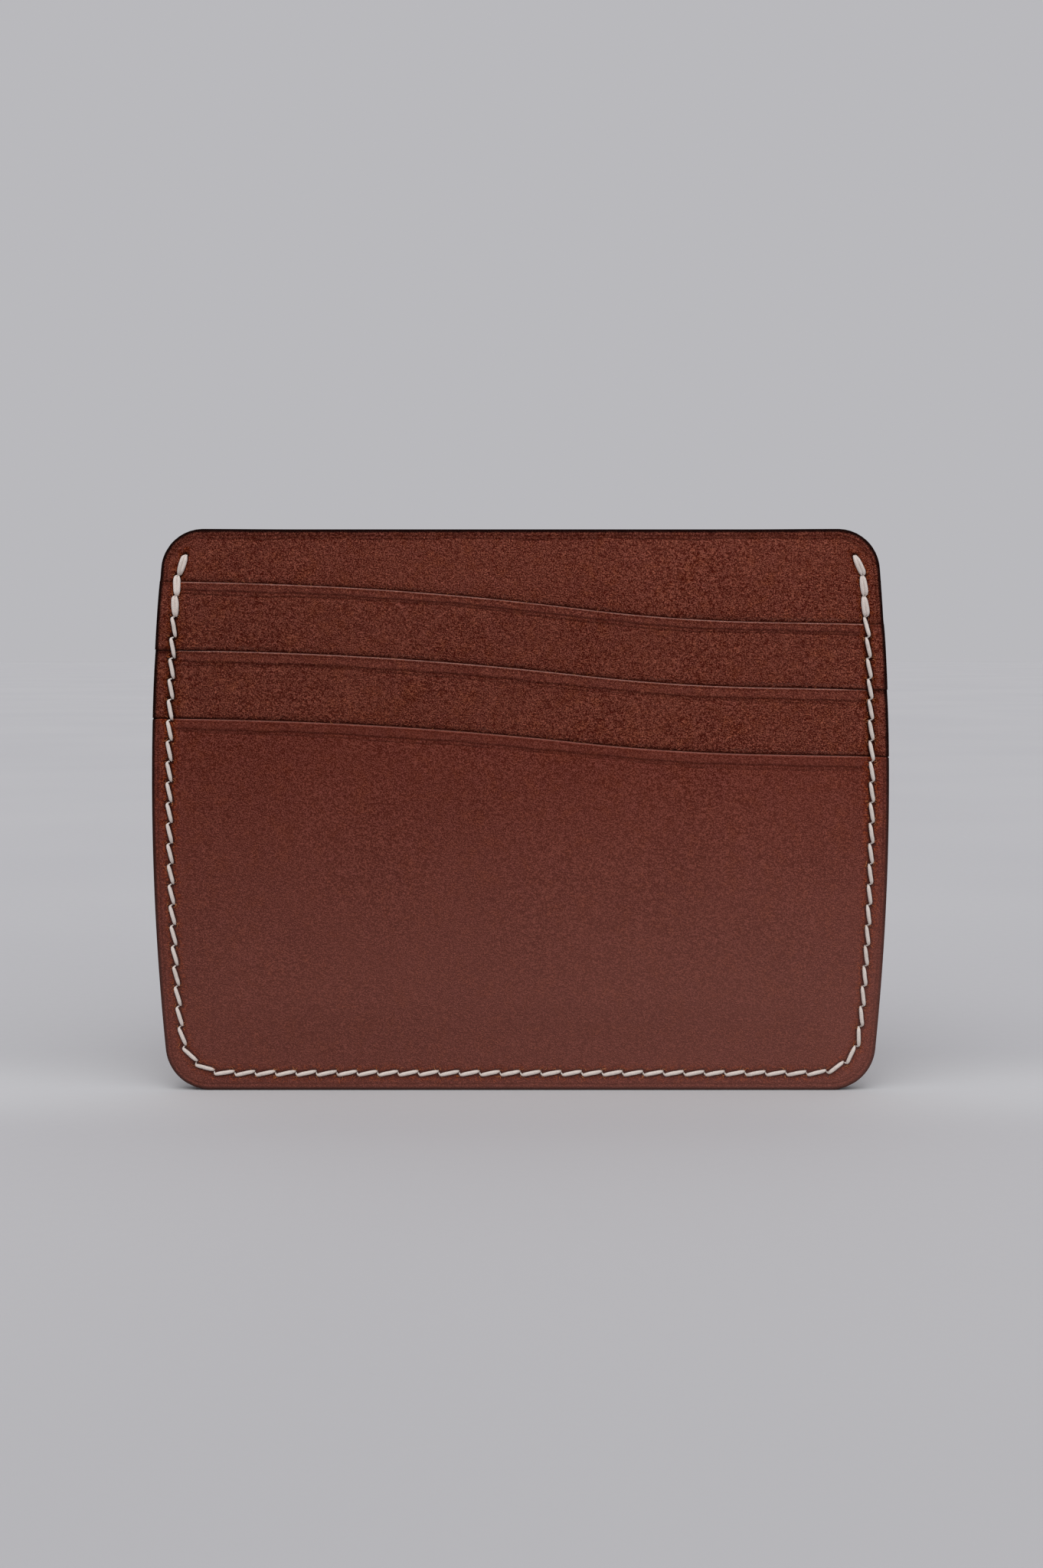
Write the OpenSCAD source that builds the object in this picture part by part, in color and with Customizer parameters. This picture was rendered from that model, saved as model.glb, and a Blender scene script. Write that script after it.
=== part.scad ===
// Card holder: two full leather panels, three stepped front pockets and the thread that sews them.
// X is across the holder, Z is up, and the pockets face -Y. The bottom edge stands on z = 0.

/* [Outline] */
// Width across the bowed sides, at half height
body_w = 104; // [103:0.5:108]
// Height from the bottom edge to the top edge
body_h = 79.5; // [78:0.5:84]
// Radius of the bowed sides
side_r = 380; // [360:10:900]
// Radius of the two top corners
top_corner_r = 6; // [5:0.5:7]
// Radius of the two bottom corners
bottom_corner_r = 5.5; // [5:0.5:7]

/* [Leather] */
// Thickness of the back panel
back_t = 1.1; // [0.9:0.1:1.5]
// Thickness of the panel behind the pockets
backing_t = 0.9; // [0.8:0.1:1.2]
// Thickness of the top and middle pockets
stem_pocket_t = 0.7; // [0.5:0.1:0.8]
// Thickness of the front pocket
front_pocket_t = 1; // [0.8:0.1:1.2]

/* [Pocket mouths] */
// Height of the top pocket's mouth at the left seam
top_mouth = 71.9; // [71:0.1:73]
// Height of the middle pocket's mouth at the left seam
middle_mouth = 62.3; // [61.5:0.1:63]
// Height of the front pocket's mouth at the left seam
front_mouth = 52.7; // [51:0.1:53.5]
// How far the top pocket's mouth falls from left to right
top_fall = 6.1; // [3:0.1:7]
// How far the middle pocket's mouth falls from left to right
middle_fall = 5.7; // [3:0.1:7]
// How far the front pocket's mouth falls from left to right
front_fall = 5.5; // [3:0.1:7]
// Slope of the straight ends of every mouth
end_slope = 0.019; // [0:0.001:0.025]

/* [Card slots] */
// Width of a card
card_w = 85.6; // [85:0.1:86]
// Room for a card between two leathers
slot_gap = 0.8; // [0.8:0.05:1]
// Width of the stems that hang behind the front pocket
stem_w = 83; // [76:1:84]
// Height at which a card rests in the top pocket
top_floor = 22; // [20:0.5:23]
// Height at which a card rests in the middle pocket
middle_floor = 13.5; // [13.5:0.1:14]
// Height at which a card rests in the front pocket and in the centre pocket
seam_floor = 7; // [6.8:0.1:7]

/* [Stitching] */
// Distance from the edge to the line of stitches
seam_inset = 2.5; // [2.2:0.1:2.6]
// Radius of the two bends in the line of stitches
seam_corner_r = 6; // [5:0.5:7]
// Distance from the top edge to the first hole
seam_start = 3.6; // [3.4:0.1:6]
// Stitches in the seam that runs round three sides
seam_stitches = 82; // [70:2:86]
// Stitches along the foot of a hidden stem
stem_stitches = 26; // [20:2:28]
// Thickness of the thread in the outer seam
seam_thread_d = 0.6; // [0.5:0.05:0.65]
// Thickness of the thread under the hidden stems
stem_thread_d = 0.4; // [0.3:0.05:0.4]
// Stitches sewn over again at each end of the outer seam
double_stitches = 3; // [1:1:4]

/* [Hidden] */

outside_leather = "#5e2f24";
pocket_leather = "#6a3a2c";
inside_leather = "#7a4a36";
thread = "#d8cdbf";

reach = 20;
hair = 0.05;
middle_z = body_h / 2;
mouth_left = [top_mouth, middle_mouth, front_mouth];
mouth_fall = [top_fall, middle_fall, front_fall];

// The leathers lie together in the seam and part towards the card slots
slope_in = card_w / 2 + 0.6;
slope_out = slope_in + 2.6;
slope_z = seam_floor - 2.8;

// A stem pocket's bar tucks in behind the next pocket this far, inside of tuck_x
tuck_x = slope_out - 1.6;
tuck_depth = 3;

// Depths along Y, from the seam face between the backing and the pockets
backing_bulge = 1.7;
back_bulge = backing_bulge + slot_gap;
top_bulge = backing_bulge - slot_gap;
middle_bulge = top_bulge - stem_pocket_t - slot_gap;
front_bulge = middle_bulge - stem_pocket_t - slot_gap;
front_face = front_bulge - front_pocket_t;
back_face = backing_t + back_bulge + back_t;
centre_y = (front_face + back_face) / 2;

// The foot of a stem slopes back from its slot's floor and is sewn to the backing
foot_slope = 3.5;
foot_h = 3;
stem_split = 30;

// --- Outline -------------------------------------------------------------------------------

// Distance of the bowed side from the middle at a height
function side_x(z) = body_w / 2 - side_r + sqrt(pow(side_r, 2) - pow(z - middle_z, 2));

// Angle on the side's circle at which a corner of radius r begins
function corner_start(r) = asin((middle_z - r) / (side_r - r));

// Distance of that corner's centre from the middle
function corner_x(r) = body_w / 2 - side_r + (side_r - r) * cos(corner_start(r));

// Points round a corner of radius r, from angle a to angle b
function corner(r, centre_z, a, b, steps = 8) =
    [for (i = [0 : steps])
        let (angle = a + (b - a) * i / steps)
        [corner_x(r) + r * cos(angle), centre_z + r * sin(angle)]];

// The right half of the edge, from the bottom to the top
right_edge = concat(
    corner(bottom_corner_r, bottom_corner_r, -90, -corner_start(bottom_corner_r)),
    [for (i = [1 : 15])
        let (z = bottom_corner_r + (body_h - bottom_corner_r - top_corner_r) * i / 16)
        [side_x(z), z]],
    corner(top_corner_r, body_h - top_corner_r, corner_start(top_corner_r), 90));

module outline() {
    last = len(right_edge) - 1;
    left_edge = [for (i = [last : -1 : 0]) [-right_edge[i][0], right_edge[i][1]]];
    polygon(concat(right_edge, left_edge));
}

// --- Pocket mouths -------------------------------------------------------------------------

// A mouth begins to fall, is steepest and levels out at these places across the holder
fall_from = -42.5;
fall_steepest = 8.5;
fall_to = 34;

// Share of its fall that a mouth has made at x
function fallen(x) =
    x <= fall_from ? 0 :
    x >= fall_to ? 1 :
    x < fall_steepest
        ? pow(x - fall_from, 2) / ((fall_steepest - fall_from) * (fall_to - fall_from))
        : 1 - pow(fall_to - x, 2) / ((fall_to - fall_steepest) * (fall_to - fall_from));

// Height of mouth k at x, where 0 is the top pocket
function mouth_z(k, x) =
    let (half = body_w / 2 - seam_inset)
    mouth_left[k] - end_slope * (x + half) - (mouth_fall[k] - 2 * end_slope * half) * fallen(x);

// Everything below a mouth, raised by shift
module below_mouth(k, shift = 0) {
    step = (fall_to - fall_from) / 16;
    polygon(concat(
        [[-body_w, -reach], [-body_w, mouth_z(k, -body_w) + shift]],
        [for (i = [0 : 16]) let (x = fall_from + i * step) [x, mouth_z(k, x) + shift]],
        [[body_w, mouth_z(k, body_w) + shift], [body_w, -reach]]));
}

// A strip through the whole height, this far to each side of the middle
module middle_strip(half) {
    translate([-half, -reach])
        square([2 * half, body_h + 2 * reach]);
}

// A stem pocket is a T: its bar meets the next bar edge to edge in the seam, and its stem is narrower
module stem_pocket_shape(k) {
    difference() {
        intersection() {
            outline();
            below_mouth(k);
        }
        difference() {
            below_mouth(k + 1, hair);
            middle_strip(tuck_x);
        }
        difference() {
            below_mouth(k + 1, -tuck_depth);
            middle_strip(stem_w / 2);
        }
    }
}

// --- Leather sheets ------------------------------------------------------------------------

// Stands a shape drawn in X and Z upright, through the whole depth
module upright() {
    rotate([90, 0, 0])
        linear_extrude(2 * reach, center = true)
            children();
}

// The space behind a surface that lies at y in the side seams and bulges between them
module behind_sides(y, bulge) {
    translate([0, 0, -reach])
        linear_extrude(body_h + 2 * reach)
            polygon([[-body_w, y], [-slope_out, y], [-slope_in, y + bulge], [slope_in, y + bulge],
                     [slope_out, y], [body_w, y], [body_w, reach], [-body_w, reach]]);
}

// The space behind a surface that lies at y up to the height low and bulges from the height high
module behind_bottom(y, bulge, low, high) {
    top = body_h + reach;
    rotate([90, 0, 90])
        linear_extrude(2 * body_w, center = true)
            polygon([[y, -reach], [y, low], [y + bulge, high], [y + bulge, top],
                     [reach, top], [reach, -reach]]);
}

// The space behind a surface that is held at y in the seam on three sides
module behind_tray(y, bulge) {
    if (bulge > 0) {
        behind_sides(y, bulge);
        behind_bottom(y, bulge, slope_z, seam_floor);
    } else {
        intersection() {
            behind_sides(y, bulge);
            behind_bottom(y, bulge, slope_z, seam_floor);
        }
    }
}

// A leather of thickness t that is sewn in on three sides
module tray_sheet(y, bulge, t) {
    difference() {
        behind_tray(y, bulge);
        behind_tray(y + t, bulge);
    }
}

// The upper part of a stem pocket, which is sewn in at its two sides
module bar_sheet(bulge, t) {
    difference() {
        behind_sides(-t, bulge);
        behind_sides(0, bulge);
        translate([-body_w, -reach, -reach])
            cube([2 * body_w, 2 * reach, stem_split + reach]);
    }
}

// The lower part of a stem pocket, which slopes back to its foot on the backing
module stem_sheet(bulge, t, floor_z) {
    foot_y = backing_bulge - t;
    foot_top = floor_z - foot_slope;
    intersection() {
        difference() {
            behind_bottom(foot_y, bulge - backing_bulge, foot_top, floor_z);
            behind_bottom(foot_y + t, bulge - backing_bulge, foot_top, floor_z);
        }
        translate([-stem_w / 2, -reach, foot_top - foot_h])
            cube([stem_w, 2 * reach, stem_split - foot_top + foot_h]);
    }
}

// --- Stitch lines --------------------------------------------------------------------------

// A hole is [x, z, angle], where the angle points inward, across the line of stitches
side_centre = [body_w / 2 - side_r, middle_z];
seam_r = side_r - seam_inset;
seam_corner_z = seam_inset + seam_corner_r;
seam_corner_a = asin((middle_z - seam_corner_z) / (seam_r - seam_corner_r));
seam_corner_x = side_centre[0] + (seam_r - seam_corner_r) * cos(seam_corner_a);
seam_top_a = asin((body_h - seam_start - middle_z) / seam_r);
corner_len = (90 - seam_corner_a) * PI / 180 * seam_corner_r;
side_len = (seam_top_a + seam_corner_a) * PI / 180 * seam_r;
seam_len = 2 * (seam_corner_x + corner_len + side_len);

// A hole on an arc, this far along it from the angle a
function arc_hole(centre, r, a, along) =
    let (angle = a + along / r * 180 / PI)
    [centre[0] + r * cos(angle), centre[1] + r * sin(angle), angle + 180];

// A hole on the right half of the seam, this far from the bottom's middle
function right_hole(s) =
    s < seam_corner_x ? [s, seam_inset, 90] :
    s < seam_corner_x + corner_len
        ? arc_hole([seam_corner_x, seam_corner_z], seam_corner_r, -90, s - seam_corner_x)
        : arc_hole(side_centre, seam_r, -seam_corner_a, s - seam_corner_x - corner_len);

// Down the left side, along the bottom and up the right side
seam_holes = [for (i = [0 : seam_stitches])
    let (s = seam_len * (i / seam_stitches - 0.5), hole = right_hole(abs(s)))
    s < 0 ? [-hole[0], hole[1], 180 - hole[2]] : hole];

// Along the foot of a stem, from left to right
function stem_holes(floor_z) =
    [for (i = [0 : stem_stitches])
        [(stem_w - 4) * (i / stem_stitches - 0.5), floor_z - foot_slope - foot_h / 2, 90]];

// Two threads lie side by side in each hole, this far from its middle
function strand_offset(d) = 0.54 * d;

// Slits through every leather, long enough for both threads
module slits(holes, d) {
    for (hole = holes)
        translate([hole[0], 0, hole[1]])
            rotate([0, -hole[2], 0])
                cube([2 * strand_offset(d) + d + hair, 2 * reach, d + hair], center = true);
}

// A groove in the backing's inner face, so that a stem's thread lies flush in it
module stem_groove(floor_z) {
    d = stem_thread_d;
    back = backing_bulge + backing_t;
    translate([-stem_w / 2, back - d, floor_z - foot_slope - foot_h / 2 - 1.5 * d])
        cube([stem_w, reach, 3 * d]);
}

// --- Thread --------------------------------------------------------------------------------

function unit(v) = v / norm(v);

// Corners of one ring of a tube, mitred where its path turns
function ring(path, i, r, sides) =
    let (last = len(path) - 1,
         into = unit(path[max(i, 1)] - path[max(i, 1) - 1]),
         away = unit(path[min(i, last - 1) + 1] - path[min(i, last - 1)]),
         along = path[min(i + 2, last)] - path[max(i - 2, 0)],
         across = unit(cross([0, 1, 0], [along[0], 0, along[2]])),
         out = cross(across, unit(into + away)),
         mitre = 2 / norm(into + away))
    [for (j = [0 : sides - 1])
        let (a = 360 * j / sides)
        path[i] + r * (cos(a) * across + mitre * sin(a) * out)];

module tube(path, d, sides = 8) {
    last = len(path) - 1;
    polyhedron(
        [for (i = [0 : last]) each ring(path, i, d / 2, sides)],
        concat(
            [for (i = [0 : last - 1], j = [0 : sides - 1])
                let (a = i * sides + j, b = i * sides + (j + 1) % sides)
                each [[a, b, b + sides], [a, b + sides, a + sides]]],
            [[for (j = [sides - 1 : -1 : 0]) j]],
            [[for (j = [0 : sides - 1]) last * sides + j]]));
}

// A point beside a hole, this far inward and at depth y
function beside(hole, inward, y) =
    [hole[0] + inward * cos(hole[2]), y, hole[1] + inward * sin(hole[2])];

// One needle's thread: it changes face at every hole, and swaps sides with the other needle's thread
function strand(holes, d, front_y, back_y, first) =
    [for (i = [0 : len(holes) - 1])
        let (odd = (i + first) % 2,
             inward = (odd == 0 ? -1 : 1) * strand_offset(d),
             front = beside(holes[i], inward, front_y[i]),
             back = beside(holes[i], inward, back_y))
        each (odd == 0 ? [back, front] : [front, back])];

module saddle_stitch(holes, d, front_y, back_y) {
    for (first = [0, 1])
        tube(strand(holes, d, front_y, back_y, first), d);
}

// --- Sub-parts -----------------------------------------------------------------------------

// Puts the middle of the thickness on y = 0
module in_place() {
    translate([0, -centre_y, 0])
        children();
}

module back_panel() {
    color(outside_leather)
        in_place()
            difference() {
                intersection() {
                    upright() outline();
                    tray_sheet(backing_t, back_bulge, back_t);
                }
                slits(seam_holes, seam_thread_d);
            }
}

module pocket_backing() {
    color(inside_leather)
        in_place()
            difference() {
                intersection() {
                    upright() outline();
                    tray_sheet(0, backing_bulge, backing_t);
                }
                slits(seam_holes, seam_thread_d);
                for (floor_z = [top_floor, middle_floor]) {
                    slits(stem_holes(floor_z), stem_thread_d);
                    stem_groove(floor_z);
                }
            }
}

module stem_pocket(k, bulge, floor_z) {
    upper_holes = [for (hole = seam_holes) if (hole[1] > mouth_z(2, hole[0]) - 2) hole];
    color(pocket_leather)
        in_place()
            difference() {
                intersection() {
                    upright() stem_pocket_shape(k);
                    union() {
                        bar_sheet(bulge, stem_pocket_t);
                        stem_sheet(bulge, stem_pocket_t, floor_z);
                    }
                }
                slits(upper_holes, seam_thread_d);
                slits(stem_holes(floor_z), stem_thread_d);
            }
}

module top_pocket() {
    stem_pocket(0, top_bulge, top_floor);
}

module middle_pocket() {
    stem_pocket(1, middle_bulge, middle_floor);
}

module front_pocket() {
    lower_holes = [for (hole = seam_holes) if (hole[1] < mouth_z(2, hole[0]) + 2) hole];
    color(outside_leather)
        in_place()
            difference() {
                intersection() {
                    upright()
                        intersection() {
                            outline();
                            below_mouth(2);
                        }
                    tray_sheet(-front_pocket_t, front_bulge, front_pocket_t);
                }
                slits(lower_holes, seam_thread_d);
            }
}

// Depth of the leather's front face at a hole of the outer seam
function seam_face(hole) =
    hole[1] < mouth_z(2, hole[0]) ? -front_pocket_t :
    hole[1] < mouth_z(0, hole[0]) ? -stem_pocket_t : 0;

// A second stitch beside the one from hole i to the next, from the share start of its length to end
module double_stitch(i, d, y, slant, start, end) {
    shift = d + 2 * hair;
    a = beside(seam_holes[i], shift - slant, y[0]);
    b = beside(seam_holes[i + 1], shift + slant, y[1]);
    tube([a + start * (b - a), a + end * (b - a)], d);
}

// The last stitches at each end of the seam lie double, in front and behind
module doubled_ends(d, front_y, back_y) {
    slant = strand_offset(d);
    for (end = [0, seam_stitches - double_stitches], i = [end : end + double_stitches - 1]) {
        double_stitch(i, d, [front_y[i], front_y[i + 1]], slant, 0.27, 0.9);
        double_stitch(i, d, [back_y, back_y], -slant, 0.1, 0.73);
    }
}

module seam_thread() {
    d = seam_thread_d;
    front_y = [for (hole = seam_holes) seam_face(hole) - d / 2];
    back_y = backing_t + back_t + d / 2;
    color(thread)
        in_place() {
            saddle_stitch(seam_holes, d, front_y, back_y);
            doubled_ends(d, front_y, back_y);
        }
}

module stem_thread(floor_z) {
    d = stem_thread_d;
    holes = stem_holes(floor_z);
    front_y = [for (hole = holes) backing_bulge - stem_pocket_t - d / 2];
    color(thread)
        in_place()
            saddle_stitch(holes, d, front_y, backing_bulge + backing_t - d / 2);
}

module top_stem_thread() {
    stem_thread(top_floor);
}

module middle_stem_thread() {
    stem_thread(middle_floor);
}

back_panel();
pocket_backing();
top_pocket();
middle_pocket();
front_pocket();
seam_thread();
top_stem_thread();
middle_stem_thread();
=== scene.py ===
import math
import random
from functools import reduce

import bmesh
import bpy
import numpy as np
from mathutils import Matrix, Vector
from mathutils.kdtree import KDTree


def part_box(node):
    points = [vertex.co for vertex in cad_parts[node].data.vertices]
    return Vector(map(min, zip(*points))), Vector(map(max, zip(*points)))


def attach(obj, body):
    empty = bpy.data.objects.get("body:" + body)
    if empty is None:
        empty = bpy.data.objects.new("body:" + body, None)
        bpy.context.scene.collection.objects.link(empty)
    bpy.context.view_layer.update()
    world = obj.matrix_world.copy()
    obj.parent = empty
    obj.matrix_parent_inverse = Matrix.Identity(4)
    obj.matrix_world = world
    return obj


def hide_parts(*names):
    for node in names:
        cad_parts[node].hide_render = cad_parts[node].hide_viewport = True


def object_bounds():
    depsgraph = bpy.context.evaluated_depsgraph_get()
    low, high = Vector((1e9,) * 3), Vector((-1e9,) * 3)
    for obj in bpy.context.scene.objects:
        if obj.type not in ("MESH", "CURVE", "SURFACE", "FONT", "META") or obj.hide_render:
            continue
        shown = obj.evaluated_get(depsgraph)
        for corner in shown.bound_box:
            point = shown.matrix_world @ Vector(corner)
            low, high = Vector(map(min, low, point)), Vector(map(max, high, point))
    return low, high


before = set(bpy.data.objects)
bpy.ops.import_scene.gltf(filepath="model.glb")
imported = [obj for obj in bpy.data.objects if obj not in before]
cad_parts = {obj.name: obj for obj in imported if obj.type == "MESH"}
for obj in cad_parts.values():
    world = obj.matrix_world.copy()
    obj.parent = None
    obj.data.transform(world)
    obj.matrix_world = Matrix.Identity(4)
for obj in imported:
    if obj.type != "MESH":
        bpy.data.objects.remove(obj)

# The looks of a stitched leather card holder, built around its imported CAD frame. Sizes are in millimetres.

MM = 0.001
CAD_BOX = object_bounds()
random.seed(11)

# --- Sizes ---

WIDTH = (CAD_BOX[1].x - CAD_BOX[0].x) / MM
HEIGHT = (CAD_BOX[1].z - CAD_BOX[0].z) / MM
MIDDLE_Z = HEIGHT / 2
SEAM_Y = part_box("pocket_backing")[0].y / MM  # the face between the backing and the pockets

# The outline's bowed sides and its corners
SIDE_R = 380
TOP_R = 6
BOTTOM_R = 6.4

# Leather thicknesses
BACK_T = 1.1
BACKING_T = 0.9
STEM_T = 0.7
FRONT_T = 1.0
THINNEST = 0.05
FAR = 99.0  # no point is so far from anything

# Pocket mouths: height at the left seam, fall on the way to the right seam, and the curve's places
LEFT_MOUTH = (72.12, 62.52, 52.92)
MOUTH_FALL = (5.95, 5.55, 5.35)
END_SLOPE = 0.019
FALL_FROM, FALL_STEEPEST, FALL_TO = -42.5, 8.5, 34.0

# Pressed lines: below each mouth, the second one beside it, and inside the outer edge
CREASE_DROP = (1.2, 1.6, 1.5)
SECOND_CREASE = 0.42
EDGE_CREASE = 0.9
CREASE_DEPTH = 0.10
CREASE_HALF = 0.15

# Hidden stems of the two upper pockets
STEM_HALF = 41.5
TUCK_HALF = 44.4
TUCK_DEPTH = 1.5
STEM_FOOT = (15.5, 7.0)
FOOT_H = 3.0

# The outer seam
SEAM_INSET = 2.5
SEAM_CORNER_R = 6
SEAM_START = 3.6
END_SHIFT = (0.9, 0.85)  # how far the first and last holes stand inward
STITCHES = 82
DOUBLE_STITCHES = 3
THREAD_D = 0.54
THREAD_PLIES, THREAD_LAY = 3, 1.5
LEANS = (0.29, 0.20)  # how far a stitch's ends stand beside its holes, from the first stitch to the last
PAIR_SHIFT = 0.07  # how far a doubled stitch's threads stand apart at a hole, and how far they bow
PAIR_BOW = 0.18
STEM_STITCHES = 26
STEM_THREAD_D = 0.4

# How far each leather gives way between the seams, from its place in the seam
LAYER_GAP = 0.12
CENTRE_GAP = 0.35
BACKING_GIVE = 1.25
TOP_GIVE = BACKING_GIVE - LAYER_GAP
MIDDLE_GIVE = TOP_GIVE - LAYER_GAP - STEM_T
FRONT_GIVE = MIDDLE_GIVE - LAYER_GAP - STEM_T
BACK_GIVE = BACKING_GIVE + CENTRE_GAP


# --- Outline, mouths and stitch line ---

def smooth(t):
    """0 below 0, 1 above 1, and an even ease between them."""
    t = np.clip(t, 0, 1)
    return t * t * (3 - 2 * t)


def side_x(z):
    """Distance of the bowed side from the middle at height z."""
    return WIDTH / 2 - SIDE_R + np.sqrt(SIDE_R**2 - (z - MIDDLE_Z) ** 2)


def corner(r):
    """The angle on the side where a corner of radius r begins, and its centre's distance from the middle."""
    start = math.asin((MIDDLE_Z - r) / (SIDE_R - r))
    return start, WIDTH / 2 - SIDE_R + (SIDE_R - r) * math.cos(start)


def edge_distance(x, z):
    """How far inside the outer edge a point is."""
    x = np.abs(x)
    inside = SIDE_R - np.hypot(x - (WIDTH / 2 - SIDE_R), z - MIDDLE_Z)
    inside = np.minimum(inside, np.minimum(z, HEIGHT - z))
    for r, up in ((BOTTOM_R, BOTTOM_R - z), (TOP_R, z - (HEIGHT - TOP_R))):
        start, centre_x = corner(r)
        angle = np.arctan2(up, x - centre_x)
        in_corner = (angle > start) & (angle < math.pi / 2)
        inside = np.where(in_corner, r - np.hypot(x - centre_x, up), inside)
    return inside


def fallen(x):
    """Share of its fall that a mouth has made at x."""
    span = FALL_TO - FALL_FROM
    x = np.clip(x, FALL_FROM, FALL_TO)
    first = (x - FALL_FROM) ** 2 / ((FALL_STEEPEST - FALL_FROM) * span)
    last = 1 - (FALL_TO - x) ** 2 / ((FALL_TO - FALL_STEEPEST) * span)
    return np.where(x < FALL_STEEPEST, first, last)


def mouth_z(k, x):
    """Height of mouth k at x, where 0 is the top pocket."""
    half = WIDTH / 2 - SEAM_INSET
    return LEFT_MOUTH[k] - END_SLOPE * (x + half) - (MOUTH_FALL[k] - 2 * END_SLOPE * half) * fallen(x)


def seam_line():
    """The seam's side arc, as its centre's X and its radius, and its corner, as X, Z and where it ends."""
    centre_x = WIDTH / 2 - SIDE_R
    seam_r = SIDE_R - SEAM_INSET
    corner_z = SEAM_INSET + SEAM_CORNER_R
    corner_a = math.asin((MIDDLE_Z - corner_z) / (seam_r - SEAM_CORNER_R))
    return centre_x, seam_r, centre_x + (seam_r - SEAM_CORNER_R) * math.cos(corner_a), corner_z, corner_a


def stitch_holes():
    """Each hole as (x, z, inward angle), down the left side, along the bottom and up the right side."""
    centre_x, seam_r, corner_x, corner_z, corner_a = seam_line()
    corner_len = (math.pi / 2 - corner_a) * SEAM_CORNER_R
    top_a = math.asin((HEIGHT - SEAM_START - MIDDLE_Z) / seam_r)
    length = 2 * (corner_x + corner_len + (top_a + corner_a) * seam_r)

    def right(s):
        if s < corner_x:
            return s, SEAM_INSET, math.pi / 2
        if s < corner_x + corner_len:
            angle = (s - corner_x) / SEAM_CORNER_R - math.pi / 2
            return (corner_x + SEAM_CORNER_R * math.cos(angle),
                    corner_z + SEAM_CORNER_R * math.sin(angle), angle + math.pi)
        angle = (s - corner_x - corner_len) / seam_r - corner_a
        return centre_x + seam_r * math.cos(angle), MIDDLE_Z + seam_r * math.sin(angle), angle + math.pi

    holes = []
    for i in range(STITCHES + 1):
        s = length * (i / STITCHES - 0.5)
        x, z, inward = right(abs(s))
        holes.append((-x, z, math.pi - inward) if s < 0 else (x, z, inward))
    for i, shift in zip((0, -1), END_SHIFT):
        x, z, inward = holes[i]
        holes[i] = (x + shift * math.cos(inward), z + shift * math.sin(inward), inward)
    return holes


HOLES = stitch_holes()


def tree_of(points):
    tree = KDTree(len(points))
    for i, (x, z) in enumerate(points):
        tree.insert((x, 0, z), i)
    tree.balance()
    return tree


def distances(tree, x, z):
    """Distance from each point to the nearest one in the tree."""
    return np.array([tree.find((a, 0, b))[2] for a, b in zip(x, z)])


def lean_of(i):
    """How far stitch i's ends stand beside its holes, less for the doubled stitches."""
    lean = LEANS[0] + (LEANS[1] - LEANS[0]) * i / STITCHES
    return lean * (0.4 if i < DOUBLE_STITCHES or i >= STITCHES - DOUBLE_STITCHES else 1.0)


def along_seam(sign, steps=20):
    """Close points along the leaning stitches of one face."""
    for n, (a, b) in enumerate(zip(HOLES, HOLES[1:])):
        lean = sign * lean_of(n)
        for i in range(steps):
            t = i / steps
            off_a, off_b = -lean * (1 - t), lean * t
            yield (a[0] + t * (b[0] - a[0]) + off_a * math.cos(a[2]) + off_b * math.cos(b[2]),
                   a[1] + t * (b[1] - a[1]) + off_a * math.sin(a[2]) + off_b * math.sin(b[2]))


HOLE_TREE = tree_of([(x, z) for x, z, _ in HOLES])
FRONT_TREE, REAR_TREE = [tree_of(list(along_seam(sign))) for sign in (1, -1)]


# --- How the leathers lie ---

def looseness(x, z):
    """0 where the leathers are held in the seam, 1 where they lie free."""
    reach = 7 + 8 * smooth((z - 50) / 18)
    sides = smooth((side_x(z) - np.abs(x) - 4) / reach)
    return sides * smooth((z - 4) / 9)


def ripple(x, z):
    """The slow unevenness of hand-cut leather, the same in every layer."""
    return (0.05 * np.sin(0.083 * x + 0.061 * z + 1.3) + 0.04 * np.sin(0.047 * x - 0.117 * z + 0.4)
            + 0.025 * np.sin(0.171 * x + 0.093 * z + 2.2))


def flare(k, x, z):
    """How far mouth k stands forward of its pocket."""
    drop = np.clip(mouth_z(k, x) - z, 0, None)
    wave = 0.75 + 0.25 * np.sin(0.09 * x + 1.7 * k)
    return -0.13 * wave * np.exp(-drop / 3.0) * looseness(x, z)


def rear_face(give, x, z):
    """Depth of a pocket leather's rear face, or of the backing's front face."""
    return SEAM_Y + (give + ripple(x, z)) * looseness(x, z)


def stem_room(x, z):
    """The thickness that the next pocket leaves for a stem or tuck behind it."""
    return np.clip((STEM_T + LAYER_GAP) * looseness(x, z) - 0.03, THINNEST, STEM_T)


def rounding(d, r):
    """How far a rounded edge of radius r has fallen away at a distance d from it."""
    d = np.clip(d, 0, r)
    return r - np.sqrt(np.clip(r * r - (r - d) ** 2, 0, None))


def seam_relief(seam_d, hole_d):
    """How deep the stitches pull the leather in."""
    line = 0.15 * np.exp(-((seam_d / 0.55) ** 2))
    wide = 0.06 * np.exp(-((seam_d / 1.5) ** 2))
    hole = 0.16 * np.exp(-((hole_d / 0.30) ** 2))
    return line + wide + hole


# --- Flat layouts of a leather, as points in X and Z with four-sided faces ---

RING_INSETS = (0, 0.02, 0.06, 0.12, 0.2, 0.3, 0.42, 0.56, 0.7, 0.8, 0.9, 1.0, 1.14, 1.3, 1.42, 1.5, 1.58,
               1.7, 1.9, 2.1, 2.3, 2.5, 2.7, 2.9, 3.1, 3.35, 3.7, 4.2, 5.0)
GUIDE_R = 3.5
STEPS_ACROSS, STEPS_UP = 192, 156
BESIDE_HOLE = (-0.6, -0.28, 0, 0.28, 0.6)  # where a leather has columns of points, along the seam from a hole


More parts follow.
